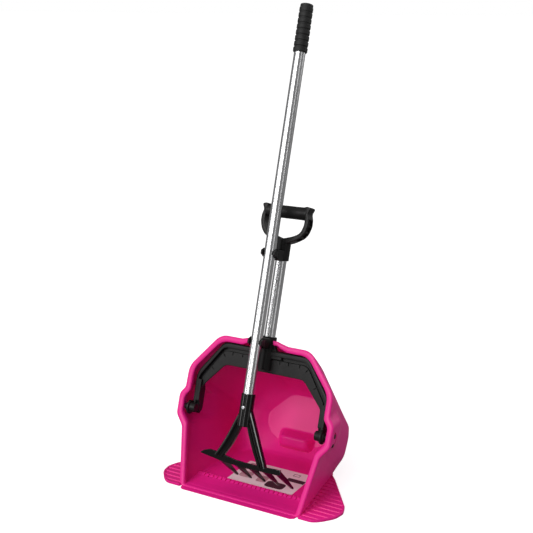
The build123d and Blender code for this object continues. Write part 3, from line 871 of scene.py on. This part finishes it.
ZINC = (0.62, 0.63, 0.66)
INK = (0.02, 0.02, 0.022)
TINT = (0.42, 0.27, 0.30)
MADE = {}


def finishes():
    """Every material by its slot name, made once and then looked up."""
    if MADE:
        return MADE
    grain = grain_group()
    look = bpy.context.scene.scoop_finish
    tube = {"metal": 1.0, "stretch": (1, 1, 0.02)}
    rows = (
        ("bucket_plastic", look.pink, 0.42, 0.08, 700, 9, 0.03, {"specular": 0.32}),
        ("black_plastic", look.black, 0.42, 0.3, 1400, 30, 0.2, {"specular": 0.22}),
        ("rake_plastic", look.rake_black, 0.14, 0.05, 500, 20, 0.1, {"specular": 0.45}),
        ("grip_rubber", look.rubber, 0.62, 0.5, 1800, 40, 0.2, {"specular": 0.35}),
        ("aluminium_tube", look.aluminium, 0.24, 0.06, 900, 60, 0.04, tube),
        ("zinc_steel", ZINC, 0.28, 0.1, 2500, 200, 0.1, {"metal": 1.0}),
        # The paper's pink tint is painted reflection of the pink walls.
        ("label_paper", look.paper_with_pink_bounce, 0.55, 0.1, 2200, 40, 0.03, {"specular": 0.4}),
        ("label_ink", INK, 0.5, 0.05, 2200, 40, 0.1, {"specular": 0.4}),
        ("label_tint", TINT, 0.5, 0.05, 2200, 60, 0.35, {"specular": 0.4}),
    )
    for name, colour, roughness, bump, fine, broad, spread, more in rows:
        MADE[name] = finish(name, colour, roughness, grain, bump, fine, broad, spread, **more)
    return MADE


# ---------------------------------------------------------------- settings


def length(name, description, default):
    """Setting for a length in metres."""
    return FloatProperty(name=name, description=description, default=default, unit="LENGTH")


def tint(name, description, default):
    """Setting for a colour."""
    return FloatVectorProperty(name=name, description=description, default=default, subtype="COLOR")


class ScoopSize(bpy.types.PropertyGroup):
    """Sizes of the bucket."""

    wall: length("Wall", "Thickness of the bucket's wall", 0.0035)
    rim_width: length("Rim width", "Width of the rolled rim", 0.0145)
    rim_depth: length("Rim depth", "Depth of the rim behind the mouth", 0.011)
    rim_roll: length("Rim roll", "Depth of the rim's rounded front", 0.0055)
    groove_pitch: length("Groove pitch", "Spacing of the ramp's grooves", 0.011)
    rib_pitch: length("Rib pitch", "Spacing of the foot wings' ribs", 0.0155)


class RakeSize(bpy.types.PropertyGroup):
    """Sizes of the rake."""

    tine_length: length("Tine length", "Length of one tine", 0.094)
    tine_thickness: length("Tine thickness", "Width of one tine", 0.0056)
    tine_drop: FloatProperty(
        name="Tine drop", description="Angle of the tines below level",
        default=math.radians(42.5), subtype="ANGLE",
    )
    grip_rings: IntProperty(name="Grip rings", description="Rings on the rake's grip", default=8, min=2)


class ScoopFinish(bpy.types.PropertyGroup):
    """Colours of the finishes."""

    pink: tint("Pink", "Bucket plastic", (0.76, 0.012, 0.24))
    black: tint("Black", "Bail and grip plastic", (0.007, 0.0065, 0.0066))
    rake_black: tint("Rake black", "Rake plastic", (0.0025, 0.002, 0.002))
    rubber: tint("Rubber", "Rake grip", (0.008, 0.008, 0.008))
    aluminium: tint("Aluminium", "Tubes", (0.72, 0.72, 0.73))
    # Off-white paper with a pink tint that is painted reflection of the pink bucket walls.
    paper_with_pink_bounce: tint("Paper", "Floor label", (0.78, 0.68, 0.71))


# ---------------------------------------------------------------- operators


class SCOOP_OT_bucket(bpy.types.Operator):
    """Make the moulded bucket with its rim, pockets, notch, ramp and foot wings"""

    bl_idname = "scoop.bucket"
    bl_label = "Bucket"

    def execute(self, context):
        s = context.scene.scoop_size
        wall = with_cuts(bucket_shell(s), [snap_slot(1), snap_slot(-1)])
        shells = [wall, ramp_shell(s), foot_shell(1, s), foot_shell(-1, s), boss(1), boss(-1)]
        piece("bucket_moulding", shells, finishes()["bucket_plastic"], "scoop", "bucket_plastic", "bucket")
        # Black ovals in both pocket walls: painted shade for the dark holes beside the pins.
        shade_plugs = hole_shade_plugs(1) + hole_shade_plugs(-1)
        piece("hole_shade_plugs", shade_plugs, finishes()["black_plastic"], "scoop", "black_plastic")
        return {"FINISHED"}


class SCOOP_OT_label(bpy.types.Operator):
    """Make the floor label with its plain print"""

    bl_idname = "scoop.label"
    bl_label = "Floor label"

    def execute(self, context):
        low, high = (np.array(corner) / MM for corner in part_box("floor_label"))
        mats = finishes()

        def sheet(x0, x1, y0, y1, z0, z1, cut=1.0):
            return plate(box_outline(x0, x1, y0, y1, cut), z0, z1, 0.04, as_is)

        paper_with_pink_bounce = sheet(low[0], high[0], low[1], high[1], low[2], high[2] - 0.08, 3.0)
        piece("label_sheet", [paper_with_pink_bounce], mats["label_paper"], "scoop", "label_paper", "floor_label")
        top = high[2] - 0.08
        dark = [sheet(46, 89, 130, 145, top, high[2]), sheet(14, 60, 84, 112, top, high[2], 9)]
        dark += [sheet(49, 65, y, y + 1.6, top, high[2], 0.4) for y in (157, 166)]
        dark += [sheet(x, x + 1.6, 157, 167.6, top, high[2], 0.4) for x in (49, 63.4)]
        piece("label_bars", dark, mats["label_ink"], "scoop", "label_paper")
        tint = [sheet(-14, 10, 96, 126, top, high[2], 8), sheet(-60, -30, 100, 128, top, high[2], 10)]
        tint += [sheet(-64, -30, 160, 170, top, high[2], 3)]
        piece("label_patches", tint, mats["label_tint"], "scoop", "label_paper")
        return {"FINISHED"}


class SCOOP_OT_bail(bpy.types.Operator):
    """Make the bail: the arch, its knuckles and pins, the hub and the lower clip"""

    bl_idname = "scoop.bail"
    bl_label = "Bail"

    def execute(self, context):
        black = finishes()["black_plastic"]
        arch = with_cuts(bail_arch(), tick_cutters())
        piece("bail_arch", [arch], black, "handle", "black_plastic", "bail_frame")
        web = [(40, 138), (40, 150), (28, 154), (20, 166), (15.5, 177)]
        web += [(-x, t) for x, t in web[::-1]]
        hub = [socket(112, 184, HUB_RADIUS, TUBE_BORE, HANDLE_N), plate(web, -14, -5, 1.5, on_bail)]
        hub += tube_clip(171.5, CLIP_ROOT) + knuckle(1) + knuckle(-1)
        piece("bail_hub_and_knuckles", hub, black, "handle", "black_plastic", "bail_frame")
        return {"FINISHED"}


class SCOOP_OT_d_grip(bpy.types.Operator):
    """Make the D grip with its socket and the upper clip"""

    bl_idname = "scoop.d_grip"
    bl_label = "D grip"

    def execute(self, context):
        holder = socket(350, 397, HUB_RADIUS, TUBE_BORE, HANDLE_N, floor=HANDLE_SPAN[1])
        shells = [d_grip_arms(), d_grip_bar(), holder] + tube_clip(361.5, CLIP_ROOT)
        piece("d_grip", shells, finishes()["black_plastic"], "handle", "black_plastic", "d_handle")
        return {"FINISHED"}


class SCOOP_OT_tubes(bpy.types.Operator):
    """Make both aluminium tubes"""

    bl_idname = "scoop.tubes"
    bl_label = "Tubes"

    def execute(self, context):
        metal = finishes()["aluminium_tube"]
        for name, node, body, span, n in (
            ("handle_tube_drawn", "handle_tube", "handle", HANDLE_SPAN, HANDLE_N),
            ("rake_tube_drawn", "rake_tube", "rake", RAKE_SPAN, RAKE_N),
        ):
            t = np.linspace(*span, 40)
            outside = np.stack([t, np.full_like(t, TUBE_RADIUS - 0.02)], 1)
            inside = np.stack([t[[-1, 0]], np.full(2, TUBE_RADIUS - TUBE_WALL)], 1)
            tube = turned(np.concatenate([outside, inside]), up_tube(n), 96, loop=True)
            piece(name, [tube], metal, body, "aluminium_tube", node)
        return {"FINISHED"}


class SCOOP_OT_rake_head(bpy.types.Operator):
    """Make the rake head: socket, arms, bar and tines"""

    bl_idname = "scoop.rake_head"
    bl_label = "Rake head"

    def execute(self, context):
        s = context.scene.rake_size
        shells = [socket(-8, 61, 15, TUBE_BORE, RAKE_N, floor=RAKE_SPAN[0])]
        shells += [rake_arm(1), rake_arm(-1), rake_bar()] + [rake_tine(x, s) for x in TINES]
        piece("rake_head_moulding", shells, finishes()["rake_plastic"], "rake", "rake_plastic", "rake_head")
        return {"FINISHED"}


class SCOOP_OT_rake_grip(bpy.types.Operator):
    """Make the ribbed rubber grip"""

    bl_idname = "scoop.rake_grip"
    bl_label = "Rake grip"

    def execute(self, context):
        sleeve = ribbed_sleeve(context.scene.rake_size)
        piece("rake_grip_sleeve", [sleeve], finishes()["grip_rubber"], "rake", "grip_rubber", "rake_grip")
        return {"FINISHED"}


class SCOOP_OT_screws(bpy.types.Operator):
    """Give the fixing screws their zinc finish"""

    bl_idname = "scoop.screws"
    bl_label = "Screws"

    def execute(self, context):
        for node in ("bail_hub_screw", "d_handle_screw", "rake_head_screw"):
            for slot in frame["nodes"][node].material_slots:
                slot.material = finishes()["zinc_steel"]
        return {"FINISHED"}


# Each light has its name and spot in metres first. Suns: degrees, strength. Strips: (wide, tall), watts.
SUNS = (("key", (-0.5, -2.2, 1.5), 30, 1.9), ("rear", (1.6, 1.9, 1.4), 50, 0.9))
STRIPS = (
    ("left_strip", (-1.9, -1.5, 1.0), (0.5, 2.4), 12.0),
    ("front_strip", (0.5, -2.55, 1.0), (0.28, 2.4), 9.0),
    ("right_strip", (2.1, -0.5, 1.0), (0.25, 2.4), 3.0),
)
TOP_SPOT = (-0.2, -0.4, 2.6)
TOP_SIZE = 2.4
TOP_POWER = 16.0
MIDDLE = (0.0, 0.1, 0.25)  # what the lights face
FLOOR_HALF = 60.0
FLOOR_GAP = 0.0003  # between the object and the floor
CAMERA_SPOT = (1.0513, -1.6939, 1.0335)
CAMERA_AZIMUTH = math.radians(30.03)
CAMERA_ELEVATION = math.radians(14.57)
CAMERA_LENS = 69.57


def aim(scene, name, light, spot, target):
    """Light at a spot, turned to face the target."""
    lamp = bpy.data.objects.new(name, light)
    lamp.location = spot
    lamp.rotation_euler = (target - Vector(spot)).to_track_quat("-Z", "Y").to_euler()
    scene.collection.objects.link(lamp)


def pale_floor():
    """Floor material: near white, and greyer for the light that it throws back."""
    mat = bpy.data.materials.new("pale_floor")
    mat.use_nodes = True
    nodes, links = mat.node_tree.nodes, mat.node_tree.links
    nodes.remove(nodes["Principled BSDF"])
    mix = nodes.new("ShaderNodeMixShader")
    path = nodes.new("ShaderNodeLightPath")
    links.new(path.outputs["Is Camera Ray"], mix.inputs["Fac"])
    lit = nodes.new("ShaderNodeAddShader")
    glow = nodes.new("ShaderNodeEmission")
    preset(glow, Strength=0.78)
    links.new(glow.outputs["Emission"], lit.inputs[0])
    links.new(lit.outputs["Shader"], mix.inputs[2])
    for target, tone in ((mix.inputs[1], 0.3), (lit.inputs[1], 0.55)):
        diffuse = nodes.new("ShaderNodeBsdfDiffuse")
        preset(diffuse, Color=(tone, tone, tone, 1))
        links.new(diffuse.outputs["BSDF"], target)
    links.new(mix.outputs["Shader"], nodes["Material Output"].inputs["Surface"])
    return mat


def studio_world():
    """White surroundings that light the object only softly."""
    world = bpy.data.worlds.new("studio")
    world.use_nodes = True
    nodes, links = world.node_tree.nodes, world.node_tree.links
    path = nodes.new("ShaderNodeLightPath")
    strength = nodes.new("ShaderNodeMapRange")
    preset(strength, To_Min=0.18, To_Max=1.0)
    links.new(path.outputs["Is Camera Ray"], strength.inputs["Value"])
    links.new(strength.outputs["Result"], nodes["Background"].inputs["Strength"])
    preset(nodes["Background"], Color=(1, 1, 1, 1))
    return world


class SCOOP_OT_stage(bpy.types.Operator):
    """Make the pale floor, the soft lights and the camera"""

    bl_idname = "scoop.stage"
    bl_label = "Stage"

    def execute(self, context):
        scene = context.scene
        z = CAD_BOX[0][2] - FLOOR_GAP
        mesh = bpy.data.meshes.new("floor")
        corners = [(FLOOR_HALF * x, FLOOR_HALF * y, z) for x, y in ((-1, -1), (1, -1), (1, 1), (-1, 1))]
        mesh.from_pydata(corners, [], [(0, 1, 2, 3)])
        floor = bpy.data.objects.new("floor", mesh)
        scene.collection.objects.link(floor)
        mesh.materials.append(pale_floor())
        scene.world = studio_world()
        target = Vector(MIDDLE)
        for name, spot, angle, strength in SUNS:
            light = bpy.data.lights.new(name, "SUN")
            light.angle = math.radians(angle)
            light.energy = strength
            aim(scene, name, light, spot, target)
        for name, spot, (wide, tall), power in STRIPS:
            light = bpy.data.lights.new(name, "AREA")
            light.shape = "RECTANGLE"
            light.size = wide
            light.size_y = tall
            light.energy = power
            aim(scene, name, light, spot, Vector((*MIDDLE[:2], spot[2])))
        light = bpy.data.lights.new("top", "AREA")
        light.size = TOP_SIZE
        light.energy = TOP_POWER
        aim(scene, "top", light, TOP_SPOT, target)
        camera = bpy.data.cameras.new("camera")
        camera.lens = CAMERA_LENS
        camera.sensor_width = 36.0
        camera.clip_end = 100.0
        view = bpy.data.objects.new("camera", camera)
        tilt = Matrix.Rotation(math.pi / 2 - CAMERA_ELEVATION, 4, "X")
        turn = Matrix.Rotation(CAMERA_AZIMUTH, 4, "Z") @ tilt
        view.matrix_world = Matrix.Translation(CAMERA_SPOT) @ turn
        scene.collection.objects.link(view)
        scene.camera = view
        scene.view_settings.view_transform = "Standard"
        return {"FINISHED"}


class SCOOP_PT_panel(bpy.types.Panel):
    """Lists the scoop's sizes, colours and pieces"""

    bl_idname = "SCOOP_PT_panel"
    bl_label = "Stable Scoop"
    bl_space_type = "VIEW_3D"
    bl_region_type = "UI"
    bl_category = "Scoop"

    def draw(self, context):
        scene = context.scene
        for group in (scene.scoop_size, scene.rake_size, scene.scoop_finish):
            box = self.layout.box()
            for name in group.bl_rna.properties.keys():
                if name not in {"rna_type", "name"}:
                    box.prop(group, name)
        for operator in OPERATORS:
            self.layout.operator(operator.bl_idname)


SETTINGS = {"scoop_size": ScoopSize, "rake_size": RakeSize, "scoop_finish": ScoopFinish}
OPERATORS = (
    SCOOP_OT_bucket, SCOOP_OT_label, SCOOP_OT_bail, SCOOP_OT_d_grip, SCOOP_OT_tubes,
    SCOOP_OT_rake_head, SCOOP_OT_rake_grip, SCOOP_OT_screws, SCOOP_OT_stage,
)


def register():
    """Register the classes and hang the settings on the scene."""
    for name, group in SETTINGS.items():
        bpy.utils.register_class(group)
        setattr(bpy.types.Scene, name, PointerProperty(type=group))
    for cls in (*OPERATORS, SCOOP_PT_panel):
        bpy.utils.register_class(cls)


def unregister():
    """Take the settings off the scene and unregister the classes."""
    for cls in reversed((*OPERATORS, SCOOP_PT_panel)):
        bpy.utils.unregister_class(cls)
    for name, group in SETTINGS.items():
        delattr(bpy.types.Scene, name)
        bpy.utils.unregister_class(group)


def main():
    """Make every piece in order."""
    register()
    for operator in OPERATORS:
        group, name = operator.bl_idname.split(".")
        getattr(getattr(bpy.ops, group), name)()
    bpy.context.view_layer.update()


if __name__ == "__main__":
    main()
